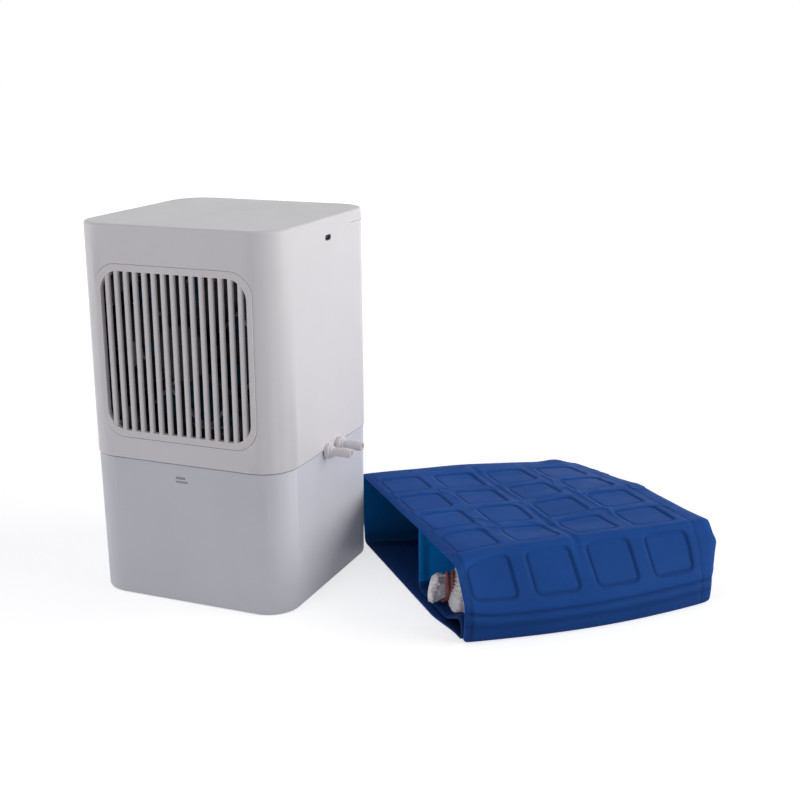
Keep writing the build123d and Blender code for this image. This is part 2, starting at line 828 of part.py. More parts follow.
def usb_socket():
    start = unit_width / 2 - socket_set_back - socket_depth
    plane = Plane(origin=(start, usb_y, usb_z), x_dir=(0, 1, 0), z_dir=(1, 0, 0))
    shell = extrude(plane * SlotOverall(socket_width, socket_height), socket_depth)
    hollow = SlotOverall(socket_width - 2 * socket_wall, socket_height - 2 * socket_wall)
    shell -= extrude(plane.offset(socket_wall) * hollow, socket_depth)
    tongue = Rectangle(tongue_width, tongue_thickness)
    return shell + extrude(plane * tongue, socket_depth - 2 * socket_wall)


def power_button():
    face = unit_depth / 2 + button_proud
    back = inner_y - button_gap
    body = rod(button_radius, (0, back - button_flange, button_z), (0, face, button_z))
    body = fillet(body.edges().group_by(Axis.Y)[-1], button_edge_radius)
    return body + rod(button_flange_radius, (0, back - button_flange, button_z), (0, back, button_z))


def power_switch():
    start = inner_y - button_cup_depth + button_cup_wall
    half = switch_size / 2
    body = block((-half, half), (start, start + switch_height), (button_z - half, button_z + half))
    tip = inner_y - button_flange - button_travel - 2 * button_gap
    return body + rod(plunger_radius, (0, start + switch_height, button_z), (0, tip, button_z))


# Mat: two welded films, rolled into one flat fold with its far end inside
def to_mat(u, v, z):
    turn = radians(mat_angle)
    return Vector(mat_corner[0] + u * cos(turn) - v * sin(turn),
                  mat_corner[1] + u * sin(turn) + v * cos(turn), z)


def fold_line(share):
    """Corners and bend radii of the mat's middle line, a share of the way along."""
    floor = film + film_gap / 2
    second = 3 * floor + layer_gap
    bow = front_bow * sin(pi * share)
    hem = floor * (1 + hem_lift_share * bow) / front_knee
    sag = back_sag * share ** sag_start_power
    corners_here = [
        (-bow, hem),
        (1 - knee_bow_share * bow, front_knee),
        (front_lean, fold_height),
        (fold_depth / 2, fold_height - middle_drop - middle_sag_share * sag),
        (fold_depth + back_sag_share * sag, back_height - sag),
        (fold_depth - back_foot_inset, floor),
        (end_fold_v, floor),
        (end_fold_v, end_fold_height),
        (end_fold_foot_v, second),
        (partition_v, second),
        (partition_v, partition_top),
    ]
    radii = [knee_bend, crease_bend, middle_bend, back_bend, back_bend,
             end_fold_bend, end_fold_bend, foot_bend, crease_bend]
    return corners_here, radii


def offset_line(points, radii, side):
    """The same bends a distance to the left, as one path with round corners."""
    moved = []
    bends = []
    for index, point in enumerate(points):
        here = Vector(*point)
        before = here - Vector(*points[index - 1]) if index else None
        after = Vector(*points[index + 1]) - here if index < len(points) - 1 else None
        ahead = (before or after).normalized()
        onward = (after or before).normalized()
        turn = ahead.get_signed_angle(onward, Vector(0, 0, 1))
        left = ahead + onward
        left = Vector(-left.Y, left.X).normalized()
        moved.append(here + left * (side / cos(radians(turn / 2))))
        if before and after:
            bends.append(radii[index - 1] + (side if turn < 0 else -side))
    return moved, bends


def film_section(share, near, far):
    """One film's cross-section between two distances from the middle line."""
    points, radii = fold_line(share)
    edges = []
    ends = []
    for side in (near, far):
        moved, bends = offset_line(points, radii, side)
        edges.append(FilletPolyline(*moved, radius=bends))
        ends.append((moved[0], moved[-1]))
    closing = [Line(ends[0][index], ends[1][index]) for index in (0, 1)]
    outline = Wire(edges[0].edges() + edges[1].edges() + closing[0].edges() + closing[1].edges())
    turn = radians(mat_angle)
    plane = Plane(origin=to_mat(share * mat_width, 0, 0), x_dir=(-sin(turn), cos(turn), 0),
                  z_dir=(cos(turn), sin(turn), 0))
    return plane * Face(outline)


def mat_film(near, far):
    shares = [index / (station_count - 1) for index in range(station_count)]
    return loft([film_section(share, near, far) for share in shares], ruled=True)


def mat_outer_film():
    return mat_film(film_gap / 2, film_gap / 2 + film)


def mat_inner_film():
    return mat_film(-film_gap / 2 - film, -film_gap / 2)


def mat_port(height):
    """A hose tail on a plate that is welded to the mat's side edge."""
    start = to_mat(mat_width, partition_v, height)
    plane = Plane(origin=start, x_dir=(0, 0, 1), z_dir=to_mat(1, 0, 0) - to_mat(0, 0, 0))
    body = extrude(plane * RectangleRounded(port_plate_height, port_plate_thickness, port_plate_radius),
                   port_plate)
    tail = plane.offset(port_plate)
    body += Solid.make_cylinder(spout_radius, spout_length, tail)
    body += barbs(tail, spout_length)
    return body - Solid.make_cylinder(spout_bore, port_plate + spout_length, plane)


# Pouch: a thin bag gathered at a neck by a band that goes round twice
def pouch_axis_plane():
    """The upright plane through the pouch's axis, x along the mat's front."""
    corner = to_mat(0, 0, 0)
    return Plane(origin=to_mat(0, pouch_v, pouch_z), x_dir=to_mat(1, 0, 0) - corner,
                 z_dir=corner - to_mat(0, 1, 0))


def accessory_pouch():
    half_neck = neck_length / 2
    profile = FilletPolyline((pouch_end_u, 0), (pouch_end_u, pouch_end_radius), (belly_end_u, pouch_radius),
                             (belly_start_u, pouch_radius), (neck_u + half_neck, neck_radius),
                             (neck_u - half_neck, neck_radius), (tail_u + tail_rim, tail_radius),
                             (tail_u, tail_end_radius), (tail_u, 0), radius=list(pouch_bends))
    outline = make_face([profile, Line((tail_u, 0), (pouch_end_u, 0))])
    plane = pouch_axis_plane()
    return revolve(plane * outline, axis=Axis(plane.origin, plane.x_dir))


def pouch_band():
    plane = pouch_axis_plane()
    rings = []
    for side in (-1, 1):
        centre = plane.origin + plane.x_dir * (neck_u + side * (band_radius + band_gap / 2))
        ring_plane = Plane(origin=centre, z_dir=plane.x_dir)
        rings.append(Solid.make_torus(neck_radius + band_radius + band_gap, band_radius, ring_plane))
    return Compound(rings)


pieces = {
    "tank": tank,
    "tank_feet": tank_feet,
    "tank_seal": tank_seal,
    "deck": deck,
    "housing_screws": housing_screws,
    "upper_housing": upper_housing,
    "front_grille": grille,
    "rear_grille": rear_grille,
    "supply_spout": lambda: spout(spout_ys[0]),
    "return_spout": lambda: spout(spout_ys[1]),
    "supply_spout_nut": lambda: spout_nut(spout_ys[0]),
    "return_spout_nut": lambda: spout_nut(spout_ys[1]),
    "supply_hose": supply_hose,
    "return_hose": return_hose,
    "fan_frame": fan_frame,
    "fan_rotor": fan_rotor,
    "fan_screws": fan_screws,
    "pad_cartridge": pad_cartridge,
    "cooling_pad": cooling_pad,
    "water_tray": water_tray,
    "pump_body": pump_body,
    "pump_cover": pump_cover,
    "pump_shaft": pump_shaft,
    "pump_impeller": pump_impeller,
    "control_board": control_board,
    "board_screws": board_screws,
    "usb_socket": usb_socket,
    "power_button": power_button,
    "power_switch": power_switch,
    "mat_outer_film": mat_outer_film,
    "mat_inner_film": mat_inner_film,
    "mat_supply_port": lambda: mat_port(port_heights[0]),
    "mat_return_port": lambda: mat_port(port_heights[1]),
    "accessory_pouch": accessory_pouch,
    "pouch_band": pouch_band,
}
for name, make in pieces.items():
    save(name, make())
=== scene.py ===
from math import atan2, copysign, cos, exp, pi, radians, sin, tan

import bpy
import numpy as np
from mathutils import Matrix, Vector, noise


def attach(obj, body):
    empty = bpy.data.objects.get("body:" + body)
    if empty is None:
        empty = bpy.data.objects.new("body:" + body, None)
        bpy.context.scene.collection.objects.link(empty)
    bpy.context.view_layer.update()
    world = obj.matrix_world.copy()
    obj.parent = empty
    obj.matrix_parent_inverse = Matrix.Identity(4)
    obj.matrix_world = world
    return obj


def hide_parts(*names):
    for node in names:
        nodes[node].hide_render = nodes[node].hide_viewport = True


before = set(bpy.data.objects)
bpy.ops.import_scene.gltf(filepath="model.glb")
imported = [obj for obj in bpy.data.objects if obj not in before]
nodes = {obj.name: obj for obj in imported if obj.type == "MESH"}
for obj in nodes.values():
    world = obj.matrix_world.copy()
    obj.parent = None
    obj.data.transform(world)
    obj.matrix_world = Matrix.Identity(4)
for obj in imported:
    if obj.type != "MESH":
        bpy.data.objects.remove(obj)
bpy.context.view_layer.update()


# Camera
# It stands in front and to the right of the chiller, a little above its top, and
# looks slightly down with a longish lens, as the photograph was taken.
camera_place = Vector((0.4558, -0.7900, 0.3773))
camera_turn = radians(22.53)
camera_tilt = radians(15.55)
camera_roll = radians(-0.34)
camera_lens = 59.15

scene = bpy.context.scene
camera_data = bpy.data.cameras.new("photo_camera")
camera_data.lens = camera_lens
camera = bpy.data.objects.new("photo_camera", camera_data)
scene.collection.objects.link(camera)
camera.matrix_world = (Matrix.Translation(camera_place)
                       @ Matrix.Rotation(camera_turn, 4, "Z")
                       @ Matrix.Rotation(pi / 2 - camera_tilt, 4, "X")
                       @ Matrix.Rotation(camera_roll, 4, "Z"))
scene.camera = camera


# Floor and light
# A plain white table in a soft studio: one wide, strong lamp to the right, weaker ones on
# the other sides, and a dim even sky. The camera sees the sky white, and so the table,
# but for the soft shadow round the object.
floor_reach = 8.0
floor_drop = 0.0002
floor_colour = (0.80, 0.80, 0.81, 1)
near_glow = 0.62
far_glow = 1.0
near_reach = 0.45
far_reach = 1.6
sky_colour = (0.96, 0.97, 1.0, 1)
sky_strength = 0.24
plain_white = (1, 1, 1, 1)
lamp_target = Vector((0.10, 0.0, 0.12))

# Each lamp's place, width, power and colour
lamps = {
    "right_lamp": ((2.0, 0.50, 0.6), 1.7, 28.5, (1.0, 0.985, 0.955)),
    "left_lamp": ((-2.0, -0.4, 0.45), 1.2, 7.0, (1, 1, 1)),
    "front_lamp": ((-1.2, -1.9, 0.5), 1.3, 9.1, (1.0, 0.97, 0.99)),
    "back_lamp": ((0.2, 2.2, 0.5), 1.3, 6.0, (1, 1, 1)),
    "top_lamp": ((0.3, 0.0, 2.2), 1.6, 3.3, (0.90, 0.93, 1.0)),
}


def shader_node(tree, kind, **inputs):
    """One shader node, with its inputs set to values or joined to other outputs."""
    made = tree.nodes.new("ShaderNode" + kind)
    for socket, value in inputs.items():
        target = made.inputs[socket.replace("_", " ")]
        if isinstance(value, bpy.types.NodeSocket):
            tree.links.new(value, target)
        else:
            target.default_value = value
    return made


def worked_out(tree, kind, operation, *values):
    """What a maths node works out from the outputs that are joined to it."""
    made = tree.nodes.new("ShaderNode" + kind)
    made.operation = operation
    for value, target in zip(values, made.inputs):
        tree.links.new(value, target)
    return made.outputs["Value"]


def seen_directly(tree):
    """1 where the camera, a reflection or a clear piece looks at the surface, else 0."""
    path = shader_node(tree, "LightPath")
    seen = path.outputs["Is Camera Ray"]
    for ray in ("Is Glossy Ray", "Is Transmission Ray"):
        seen = worked_out(tree, "Math", "MAXIMUM", seen, path.outputs[ray])
    return seen


def new_piece(name, points, faces):
    """A piece in the scene, made of points and of faces between them."""
    mesh = bpy.data.meshes.new(name)
    mesh.from_pydata(points, [], faces)
    piece = bpy.data.objects.new(name, mesh)
    scene.collection.objects.link(piece)
    return piece


corner_sides = ((-1, -1), (1, -1), (1, 1), (-1, 1))
corners = [(x * floor_reach, y * floor_reach, -floor_drop) for x, y in corner_sides]
floor = new_piece("floor", corners, [(0, 1, 2, 3)])
floor_finish = bpy.data.materials.new("floor")
floor_finish.use_nodes = True
tree = floor_finish.node_tree
tree.nodes.clear()
matt = shader_node(tree, "BsdfDiffuse", Color=floor_colour)
place = shader_node(tree, "TexCoord").outputs["Object"]
away = worked_out(tree, "VectorMath", "LENGTH", place)
paler = shader_node(tree, "MapRange", Value=away, From_Min=near_reach, From_Max=far_reach,
                    To_Min=near_glow, To_Max=far_glow)
strength = worked_out(tree, "Math", "MULTIPLY", seen_directly(tree), paler.outputs[0])
glow = shader_node(tree, "Emission", Strength=strength)
both = tree.nodes.new("ShaderNodeAddShader")
tree.links.new(matt.outputs[0], both.inputs[0])
tree.links.new(glow.outputs[0], both.inputs[1])
shader_node(tree, "OutputMaterial", Surface=both.outputs[0])
floor.data.materials.append(floor_finish)

world = bpy.data.worlds.new("studio")
world.use_nodes = True
scene.world = world
tree = world.node_tree
tree.nodes.clear()
sky = shader_node(tree, "Background", Color=sky_colour, Strength=sky_strength)
white = shader_node(tree, "Background", Color=plain_white, Strength=1.0)
either = shader_node(tree, "MixShader", Fac=seen_directly(tree))
tree.links.new(sky.outputs[0], either.inputs[1])
tree.links.new(white.outputs[0], either.inputs[2])
shader_node(tree, "OutputWorld", Surface=either.outputs[0])

for name, (place, size, power, colour) in lamps.items():
    lamp_data = bpy.data.lights.new(name, "AREA")
    lamp_data.size = size
    lamp_data.energy = power
    lamp_data.color = colour
    lamp = bpy.data.objects.new(name, lamp_data)
    scene.collection.objects.link(lamp)
    lamp.location = place
    lamp.rotation_euler = (lamp_target - Vector(place)).to_track_quat("-Z", "Y").to_euler()

scene.view_settings.view_transform = "Standard"


# Tank
# A frosted tub, moulded in one piece with rounded corners and a slight taper. It is
# cloudy enough to hide what is inside, and stands on four soft feet.
tank_colour = (0.84, 0.85, 0.92)
tank_clearness = 0.15
tank_refraction = 1.45
foot_colour = (0.30, 0.30, 0.32)
edge_softness = 0.0004
edge_segments = 2
sharp_edge = radians(40)
joined_gap = 0.000001
cloud_low = 0.3
cloud_high = 0.7
patches_per_cloud = 3
# How wide the paler edges are and how much paler: partly wear, partly a painted highlight
pale_edge_width = 0.0012
pale_edge_turn = 0.9
pale_edge_gain = 1.25
pale_edge_lift = 0.03


def mixed_colour(tree, share, base, other):
    """The base colour, blended towards a fixed other one by a share."""
    blend = tree.nodes.new("ShaderNodeMix")
    blend.data_type = "RGBA"
    share_socket, base_socket, other_socket, mixed = 0, 6, 7, 2
    tree.links.new(share, blend.inputs[share_socket])
    tree.links.new(base, blend.inputs[base_socket])
    blend.inputs[other_socket].default_value = (*other, 1)
    return blend.outputs[mixed]


def worn_and_highlit_edges(tree, shade, colour, amount):
    """Paler edges, partly wear and partly a painted highlight: where a rounded normal leaves the true one.
    """
    rounded = shader_node(tree, "Bevel", Radius=pale_edge_width).outputs[0]
    true = shader_node(tree, "NewGeometry").outputs["Normal"]
    agree = worked_out(tree, "VectorMath", "DOT_PRODUCT", rounded, true)
    edge = shader_node(tree, "MapRange", Value=agree, From_Min=1.0, From_Max=pale_edge_turn,
                       To_Min=0.0, To_Max=amount)
    paler = [min(1.0, pale_edge_gain * part + pale_edge_lift) for part in colour]
    return mixed_colour(tree, edge.outputs[0], shade, paler)


def grained_finish(name, colour, roughness, drift=0.05, drift_size=0.05, shine_change=0.05,
                   grain_size=0.0005, grain_depth=0.00002, edge_wear_and_highlight=0.0, **shader_values):
    """A material whose colour and shine drift a little, with a fine grain and paler edges, partly wear and
    partly a painted highlight.

    Any other value of its shader is given by that socket's name.
    """
    made = bpy.data.materials.new(name)
    made.use_nodes = True
    tree = made.node_tree
    shader = tree.nodes["Principled BSDF"]
    place = shader_node(tree, "TexCoord").outputs["Object"]
    clouds = shader_node(tree, "TexNoise", Vector=place, Scale=1 / drift_size, Detail=4.0).outputs["Fac"]
    tint = shader_node(tree, "ValToRGB", Fac=clouds)
    ends = zip(tint.color_ramp.elements, (cloud_low, cloud_high), (1 - drift, 1 + drift))
    for stop, position, share in ends:
        stop.color = (*[min(1.0, part * share) for part in colour], 1)
        stop.position = position
    shade = tint.outputs["Color"]
    # Paler edges: partly wear and partly a painted highlight along them
    if edge_wear_and_highlight:
        shade = worn_and_highlit_edges(tree, shade, colour, edge_wear_and_highlight)
    tree.links.new(shade, shader.inputs["Base Color"])
    patch_scale = patches_per_cloud / drift_size
    patches = shader_node(tree, "TexNoise", Vector=place, Scale=patch_scale, Detail=3.0).outputs["Fac"]
    shine = shader_node(tree, "MapRange", Value=patches, From_Min=cloud_low, From_Max=cloud_high,
                        To_Min=roughness - shine_change, To_Max=roughness + shine_change)
    tree.links.new(shine.outputs[0], shader.inputs["Roughness"])
    grain = shader_node(tree, "TexNoise", Vector=place, Scale=1 / grain_size, Detail=2.0).outputs["Fac"]
    relief = shader_node(tree, "Bump", Height=grain, Strength=1.0, Distance=grain_depth)
    tree.links.new(relief.outputs[0], shader.inputs["Normal"])
    for socket, value in shader_values.items():
        shader.inputs[socket.replace("_", " ")].default_value = value
    return made


def dress(node, finish, soften=0.0):
    """Give a frame piece its material, and round its sharp edges a little."""
    piece = nodes[node]
    piece.data.materials.clear()
    piece.data.materials.append(finish)
    if soften:
        weld = piece.modifiers.new("joined_faces", "WELD")
        weld.merge_threshold = joined_gap
        bevel = piece.modifiers.new("soft_edges", "BEVEL")
        bevel.width = soften
        bevel.segments = edge_segments
        bevel.limit_method = "ANGLE"
        bevel.angle_limit = sharp_edge
        bevel.harden_normals = True


frosted_finish = grained_finish("frosted_tank", tank_colour, 0.5, drift=0.02, grain_size=0.0004,
                                grain_depth=0.00003, Transmission_Weight=tank_clearness, IOR=tank_refraction)
foot_finish = grained_finish("soft_foot", foot_colour, 0.8, grain_depth=0.00004)
dress("tank", frosted_finish, edge_softness)
dress("tank_feet", foot_finish)


# Seal
# A soft grey ring pressed between tank and housing. Only its edge shows, as the
# thin dark line round the chiller.
seal_colour = (0.34, 0.34, 0.36)
dress("tank_seal", grained_finish("seal_rubber", seal_colour, 0.75))


# Housing
# A white moulded shell with a fine satin texture, open below. It has the window for
# the grille in front and behind, the power inlet's slot, and a groove round the back.
housing_white = (0.82, 0.80, 0.83)
housing_finish = grained_finish("white_housing", housing_white, 0.42, drift=0.015, grain_size=0.0005,
                                grain_depth=0.00003, edge_wear_and_highlight=0.3)
dress("upper_housing", housing_finish, edge_softness)


# Grilles
# One moulding in front and the same behind: a flange set flush in the wall, and
# fifteen upright bars with rounded edges. Its white is a little warmer than the housing's.
grille_white = (0.82, 0.785, 0.81)
grille_finish = grained_finish("white_grille", grille_white, 0.40, drift=0.02, grain_size=0.0005,
                               grain_depth=0.00003, edge_wear_and_highlight=0.3)
for side in ("front", "rear"):
    dress(side + "_grille", grille_finish, edge_softness / 2)


# Spouts
# Two glossier white hose tails with two barbs each, held by a round nut outside.
# One sends the water to the mat, and the other takes it back.
spout_white = (0.84, 0.80, 0.83)
spout_finish = grained_finish("white_spout", spout_white, 0.28, drift=0.02, edge_wear_and_highlight=0.3)
for way in ("supply", "return"):
    dress(way + "_spout", spout_finish, edge_softness / 2)
    dress(way + "_spout_nut", spout_finish, edge_softness)


# Wet side
# The white floor of the upper unit, the cartridge with its slanted ribs, the teal
# pleated pad in it, the tray above and the two clear hoses.
inner_white = (0.80, 0.81, 0.82)
pad_teal = (0.016, 0.15, 0.23)
hose_colour = (0.75, 0.78, 0.78)
hose_clearness = 0.5
inner_finish = grained_finish("inner_white", inner_white, 0.5, drift=0.03)
pad_finish = grained_finish("wet_pad", pad_teal, 0.85, drift=0.25, drift_size=0.006,
                            grain_size=0.0008, grain_depth=0.0002)
hose_finish = grained_finish("clear_hose", hose_colour, 0.25, drift=0.02,
                             Transmission_Weight=hose_clearness)
for piece in ("deck", "pad_cartridge", "water_tray"):
    dress(piece, inner_finish)
dress("cooling_pad", pad_finish)
for way in ("supply", "return"):
    dress(way + "_hose", hose_finish)


# Fan
# A square black frame with four struts, a seven bladed wheel and four steel screws.
# The housing and the control board are held with screws of the same steel.
plastic_black = (0.009, 0.008, 0.010)
screw_steel = (0.60, 0.60, 0.61)
black_finish = grained_finish("black_moulding", plastic_black, 0.5, drift=0.2, edge_wear_and_highlight=0.1,
                              Specular_IOR_Level=0.3)
steel_finish = grained_finish("bright_steel", screw_steel, 0.3, drift=0.06, grain_depth=0.00001,
                              Metallic=1.0)
dress("fan_frame", black_finish, edge_softness)
dress("fan_rotor", black_finish)
for held in ("fan", "housing", "board"):
    dress(held + "_screws", steel_finish, edge_softness / 2)


# Pump
# A sealed black block that hangs in the tank under the deck, with its slotted cover,
# and a vaned wheel that turns on a thin steel shaft.
for piece in ("pump_body", "pump_cover", "pump_impeller"):
    dress(piece, black_finish, edge_softness / 2)
dress("pump_shaft", steel_finish)


# Electrics
# The green control board under the housing's top, the steel shell of the power inlet,
# painted near black for the shade inside its slot, and the switch and button at the back.
board_green = (0.02, 0.17, 0.08)
# The inlet's shell is painted near black: painted shade inside the slot
inlet_shade_black = (0.03, 0.03, 0.03)
board_finish = grained_finish("green_board", board_green, 0.35, drift=0.15, drift_size=0.01)
button_finish = grained_finish("white_button", housing_white, 0.35, drift=0.02, edge_wear_and_highlight=0.3)
dress("control_board", board_finish)
dress("usb_socket", grained_finish("inlet_painted_shade", inlet_shade_black, 0.5, edge_wear_and_highlight=0.1))
dress("power_switch", black_finish)
dress("power_button", button_finish, edge_softness / 2)


# Level mark
# Two short bars printed on the tank's front, just under the seal, that show how
# high the water may stand.
mark_grey = (0.36, 0.36, 0.40)
mark_centre_z = 0.0897
mark_thickness = 0.00012
round_end_steps = 8
far_in_front = -1.0
to_the_back = Vector((0, 1, 0))

# Each bar's width and height, and how far right of and above the centre it is
mark_bars = ((0.0074, 0.0017, -0.0009, 0.0013), (0.0092, 0.0012, 0.0, -0.0014))


def rounded_bar(name, width, height, centre, depth):
    """A thin bar with round ends that stands on the tank's front face."""
    half = height / 2
    outline = []
    for side, start in ((1, -pi / 2), (-1, pi / 2)):
        for step in range(round_end_steps + 1):
            angle = start + pi * step / round_end_steps
            outline.append((side * (width / 2 - half) + half * cos(angle), half * sin(angle)))
    count = len(outline)
    points = [(centre[0] + x, centre[1] - lift, centre[2] + z) for lift in (0, depth) for x, z in outline]
    faces = [tuple(reversed(range(count, 2 * count)))]
    for index in range(count):
        after = (index + 1) % count
        faces.append((index, index + count, after + count, after))
    return new_piece(name, points, faces)


mark_finish = grained_finish("grey_print", mark_grey, 0.6)
for index, (width, height, shift, rise) in enumerate(mark_bars):
    start = Vector((shift, far_in_front, mark_centre_z + rise))
    spot = nodes["tank"].ray_cast(start, to_the_back)[1]
    bar = rounded_bar(f"level_mark_{index + 1}", width, height, spot, mark_thickness)
    bar.data.materials.append(mark_finish)
    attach(bar, "tank_body")


# Mat
# Two films welded into flat squares with water channels between them, 188 mm wide.
# It lies folded: up the front, over the top, down the back, forward along the floor,
# round its end fold and up again as the wall behind the pouch.
mat_corner = Vector((0.1962, -0.0609, 0))
mat_angle = radians(42.4)
mat_width = 0.188
mat_thickness = 0.0024
mat_blue = (0.016, 0.088, 0.365)
# The wall behind the pouch and the inner face of the back are teal
mat_inside_teal = (0.006, 0.31, 0.92)

# Its fold: depths from the front corner, heights over the floor, and how far it gives way
hem_height = 0.000048
front_height = 0.025
front_bend = 0.018
front_bow = 0.0090
top_front_depth = 0.021
top_front_bend = 0.0032
top_height = 0.0518
top_middle = 0.1035
top_bend = 0.040
top_dish = 0.0038
right_sag = 0.0157
back_depth = 0.207
back_height = 0.0492
back_bend = 0.006
heel_depth = 0.204
heel_bend = 0.024
end_fold_depth = 0.0029
end_fold_height = 0.0165
layer_start = 0.030
layer_gap = 0.001
wall_depth = 0.080
wall_height = 0.0500

# How fast the left end's droop, the right end's sag and the dish die away over its width
end_power = 14
sag_power = 2.2
dish_place = 0.45
dish_width = 0.27

# On the table: along its width from the left end, where u is measured, and in from its front
along = Vector((cos(mat_angle), sin(mat_angle), 0))
inward = Vector((-sin(mat_angle), cos(mat_angle), 0))


def fold_corners(share):
    """Depth, height and bend radius of the fold line's corners, a share of the way along."""
    bow = front_bow * sin(pi * share)
    sag = right_sag * share ** sag_power
    left_end = (1 - share) ** end_power
    dish = top_dish * exp(-((share - dish_place) / dish_width) ** 2)
    resting = mat_thickness / 2
    on_layer = 3 * resting + layer_gap
    # The front bows out, the top sags to the right, and the left end is lower and rounder
    corners = {
        "front hem": (-bow, hem_height + 0.0096 * bow, 0),
        "front": (0.001 - 0.8 * bow - 0.002 * left_end, front_height + 0.004 * left_end,
                  front_bend - 0.006 * left_end),
        "top front": (top_front_depth - 0.004 * share - 0.009 * left_end, top_height - 0.003 * left_end,
                      top_front_bend + 0.0068 * left_end),
        "top": (top_middle, top_height - 0.002 * left_end - 0.2 * sag, top_bend),
        "top back": (back_depth + 0.35 * sag, back_height - sag, back_bend),
        "heel": (heel_depth, resting, heel_bend + 0.014 * (min(1, 5 * share) - share)),
        "end fold foot": (end_fold_depth, resting, 0.003),
        "end fold top": (end_fold_depth, end_fold_height, 0.005),
        "layer": (layer_start, on_layer, 0.012),
        "wall foot": (wall_depth, on_layer, 0.005),
        "wall top": (wall_depth, wall_height - 0.0015 * left_end - 0.15 * sag - dish, 0),
    }
    return corners


def fold_legs(share):
    """Straight runs and bends of the fold line: length, start, direction and turn of each."""
    corners = list(fold_corners(share).values())
    legs = []
    here = Vector(corners[0][:2])
    for (v, z, radius), (next_v, next_z, _) in zip(corners[1:], corners[2:]):
        corner = Vector((v, z))
        ahead = (corner - here).normalized()
        onward = (Vector((next_v, next_z)) - corner).normalized()
        turn = atan2(ahead.cross(onward), ahead.dot(onward))
        reach = radius * tan(abs(turn) / 2)
        legs.append(((corner - here).length - reach, here, ahead, 0.0))
        legs.append((radius * abs(turn), corner - ahead * reach, ahead, turn))
        here = corner + onward * reach
    end = Vector(corners[-1][:2])
    legs.append(((end - here).length, here, (end - here).normalized(), 0.0))
    return legs


def place_on(leg, share):
    """Places on one leg, and the direction to its left, at shares of its length."""
    length, start, ahead, turn = leg
    forward = np.array(ahead)
    left = np.array((-ahead.y, ahead.x))
    share = np.array(share)[:, None]
    if not turn:
        return np.array(start) + forward * length * share, np.repeat(left[None], len(share), 0)
    angle = turn * share
    spots = np.array(start) + length / turn * (forward * np.sin(angle) + left * (1 - np.cos(angle)))
    return spots, left * np.cos(angle) - forward * np.sin(angle)


middle_legs = fold_legs(0.5)
leg_ends = np.cumsum([leg[0] for leg in middle_legs])
mat_length = float(leg_ends[-1])


def bend_at(corner):
    """Where along the mat the bend at one corner of the fold line starts and ends."""
    bend = 2 * list(fold_corners(0.5)).index(corner) - 1
    return leg_ends[bend - 1], leg_ends[bend]


# Where along the mat its front crease, its top, its heel, its floor and its wall end or start
crease_end = bend_at("top front")[1]
top_end = bend_at("top back")[0]
floor_start = bend_at("heel")[1]
floor_end = bend_at("end fold foot")[0]
wall_start = bend_at("wall foot")[1]

# The mat's welded squares, in four columns over its width and in rows along it
square_columns = 4
square_start = 0.0063
square_pitch = 0.0438
square_width = 0.0307
square_radius = 0.0040
row_start = 0.0262
row_pitch = 0.0418
row_length = 0.0302
row_count = int(mat_length / row_pitch) + 1
row_edges = [row_start + row * row_pitch + side for row in range(row_count) for side in (0, row_length)]
column_edges = [square_start + column * square_pitch + side
                for column in range(square_columns) for side in (0, square_width)]
half_channel = (square_pitch - square_width) / 2
channel_lines = [edge + half_channel for edge in column_edges[1::2]]

# The mat's pressed lines: two grooves along its front hem, and one beside either end
hem_groove = 0.0165
second_groove = 0.0090
left_groove = 0.0040
right_groove = mat_width - 0.0125

# Its points: a fine step at seams and lines, twice that near them, and four times elsewhere
finest_step = 0.0007
at_line = 0.0022
near_line = 0.006


def points_along(length, lines):
    """Places along a length, close together beside its lines and wide apart elsewhere."""
    places = [0.0]
    while places[-1] < length:
        gap = min(abs(places[-1] - line) for line in lines)
        if gap < at_line:
            step = finest_step
        elif gap < near_line:
            step = 2 * finest_step
        else:
            step = 4 * finest_step
        places.append(places[-1] + step)
    return np.array(places[:-1] + [length])


run = points_along(mat_length, row_edges + [hem_groove, 0.0, mat_length])
across = points_along(mat_width, column_edges + channel_lines + [0.0, mat_width])
run_grid, u_grid = np.meshgrid(run, across, indexing="ij")
fold_line = np.zeros((*run_grid.shape, 2))
fold_left = np.zeros((*run_grid.shape, 2))
for column, u in enumerate(across):
    leg_start = 0.0
    for leg, middle_leg, leg_end in zip(fold_legs(u / mat_width), middle_legs, leg_ends):
        here = (run >= leg_start) & (run <= leg_end)
        share = (run[here] - leg_start) / middle_leg[0]
        fold_line[here, column], fold_left[here, column] = place_on(leg, share)
        leg_start = leg_end


def smooth_step(low, high, value):
    """0 up to the low value and 1 from the high one, with a soft rise between."""
    share = np.clip((value - low) / (high - low), 0, 1)
    return share * share * (3 - 2 * share)


def between(rise, full, fall, end):
    """1 on one stretch of the mat's length, with soft ends, and 0 outside it."""
    return smooth_step(rise, full, run_grid) * (1 - smooth_step(fall, end, run_grid))


def bump_at(centre, width, value):
    """A soft hump that is 1 at its centre."""
    return np.exp(-((value - centre) / width) ** 2)


def slow_waves(size, seed):
    """Gentle waves over the mat, the same at every run of this script."""
    return np.array([[noise.noise(Vector((u / size, s / size, seed))) for u in across] for s in run])


# How far each point is from its square's outline, and from the mat's edge
column_middle = square_start + square_width / 2
row_middle = row_start + row_length / 2
column_index = np.clip(np.round((u_grid - column_middle) / square_pitch), 0, square_columns - 1)
row_index = np.maximum(np.round((run_grid - row_middle) / row_pitch), 0)
sideways = np.abs(u_grid - column_middle - column_index * square_pitch) - square_width / 2 + square_radius
lengthwise = np.abs(run_grid - row_middle - row_index * row_pitch) - row_length / 2 + square_radius
outside = (np.hypot(np.maximum(sideways, 0), np.maximum(lengthwise, 0))
           + np.minimum(np.maximum(sideways, lengthwise), 0) - square_radius)
edge_gap = np.minimum(np.minimum(u_grid, mat_width - u_grid), np.minimum(run_grid, mat_length - run_grid))

